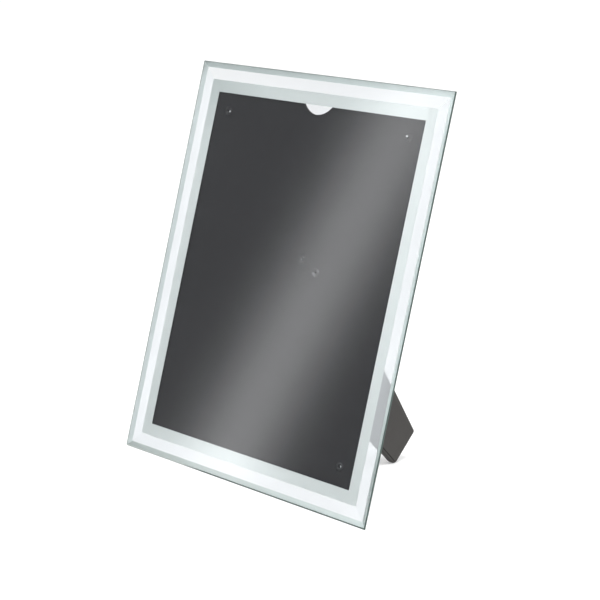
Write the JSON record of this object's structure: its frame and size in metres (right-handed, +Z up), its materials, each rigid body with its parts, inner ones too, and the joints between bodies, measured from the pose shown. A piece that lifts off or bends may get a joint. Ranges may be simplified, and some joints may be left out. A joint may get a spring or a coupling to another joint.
{
  "type": "glass photo frame",
  "caption": "Frameless leaning table photo frame: bevelled glass with a mirror border, a black back panel with a thumb notch, and a fold-flat stand leg.",
  "frame": {"origin": "middle of the glass pane's bottom edge, on the line that touches the table when the frame stands", "axes": "+X to the viewer's right, +Y to the back, +Z up; the front faces -Y and leans back"},
  "size_m": [0.2434, 0.1308, 0.2814],
  "materials": {
    "glass": "polished, green edge",
    "mirror": "silvered through the glass",
    "tape": "foam tape",
    "panel": "black satin",
    "bracket": "black enamel",
    "steel": "zinc plated",
    "rivet": "nickel plated",
    "nylon": "natural nylon",
    "leg": "dark grey, fine grain"
  },
  "bodies": {
    "frame": {"glass_pane": "glass", "mirror_border": "mirror", "tape_left": "tape", "tape_right": "tape", "tape_bottom": "tape", "back_panel": "panel", "hinge_bracket": "bracket", "hinge_pin": "steel", "hinge_washer_upper": "nylon", "hinge_washer_lower": "nylon", "hinge_rivet_left": "rivet", "hinge_rivet_right": "rivet", "hanger_plate_top_left": "steel", "hanger_plate_top_right": "steel", "hanger_plate_bottom_right": "steel", "hanger_rivet_top_left": "rivet", "hanger_rivet_top_right": "rivet", "hanger_rivet_bottom_right": "rivet"},
    "leg": {"stand_leg": "leg"}
  },
  "joints": [
    {"name": "leg_fold", "type": "hinge", "parent": "frame", "child": "leg", "pos_m": [0.0228, 0.05633, 0.15151], "axis": [0, 0.2869, 0.958], "range_deg": [0, 103.6]}
  ]
}
